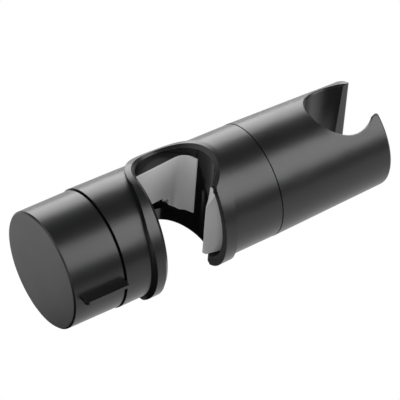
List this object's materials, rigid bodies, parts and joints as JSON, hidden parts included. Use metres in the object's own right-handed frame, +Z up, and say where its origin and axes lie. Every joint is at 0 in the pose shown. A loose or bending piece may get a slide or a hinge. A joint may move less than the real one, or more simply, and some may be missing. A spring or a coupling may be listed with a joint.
{
  "type": "shower holder",
  "caption": "Clamp-on holder for a hand shower: a knob grips a round slide rail in an open lipped channel, and a slotted conical socket swivels about the body's axis.",
  "frame": {"origin": "where the axis of the round rail channel crosses the axis of the body", "axes": "+X from the knob to the hose socket, +Z up along the rail, channel open to -Y"},
  "size_m": [0.122, 0.0432, 0.0434],
  "materials": {
    "knob": "satin, fine moulded grain",
    "clamp_screw": "turned and zinc plated",
    "thrust_washer": "smooth acetal",
    "wave_washer": "bright spring steel",
    "retaining_clip": "bright spring steel",
    "screw_bush": "turned",
    "grip_ring": "matt",
    "clamp_body": "satin, fine moulded grain",
    "back_pad": "smooth moulded nylon",
    "hook_pad": "smooth moulded nylon",
    "moving_jaw": "satin, fine moulded grain",
    "jaw_nut": "turned",
    "jaw_pad": "smooth moulded nylon",
    "pivot_insert": "turned",
    "swivel_bush": "smooth acetal",
    "friction_ring": "matt",
    "pivot_screw": "turned and zinc plated",
    "pivot_washer": "turned and zinc plated",
    "pivot_spring": "bright spring steel",
    "hose_socket": "satin, fine moulded grain"
  },
  "bodies": {
    "body": {"clamp_body": "clamp_body", "back_pad": "back_pad", "hook_pad": "hook_pad", "screw_bush": "screw_bush", "grip_ring": "grip_ring", "wave_washer": "wave_washer", "pivot_insert": "pivot_insert", "swivel_bush": "swivel_bush", "friction_ring": "friction_ring", "pivot_screw": "pivot_screw", "pivot_washer": "pivot_washer", "pivot_spring": "pivot_spring"},
    "knob": {"knob": "knob", "clamp_screw": "clamp_screw", "thrust_washer": "thrust_washer", "retaining_clip": "retaining_clip"},
    "jaw": {"moving_jaw": "moving_jaw", "jaw_nut": "jaw_nut", "jaw_pad": "jaw_pad"},
    "socket": {"hose_socket": "hose_socket"}
  },
  "joints": [
    {"name": "knob_turn", "type": "hinge", "parent": "body", "child": "knob", "pos_m": [-0.0396, 0, 0], "axis": [1, 0, 0], "range_deg": [0, 630]},
    {"name": "jaw_slide", "type": "slide", "parent": "body", "child": "jaw", "axis": [1, 0, 0], "range_m": [0, 0.007]},
    {"name": "socket_swivel", "type": "hinge", "parent": "body", "child": "socket", "pos_m": [0.02975, 0, 0], "axis": [1, 0, 0], "continuous": true}
  ],
  "couplings": [
    {"joint": "jaw_slide", "follows": "knob_turn", "m_per_rad": 0.0006366}
  ]
}
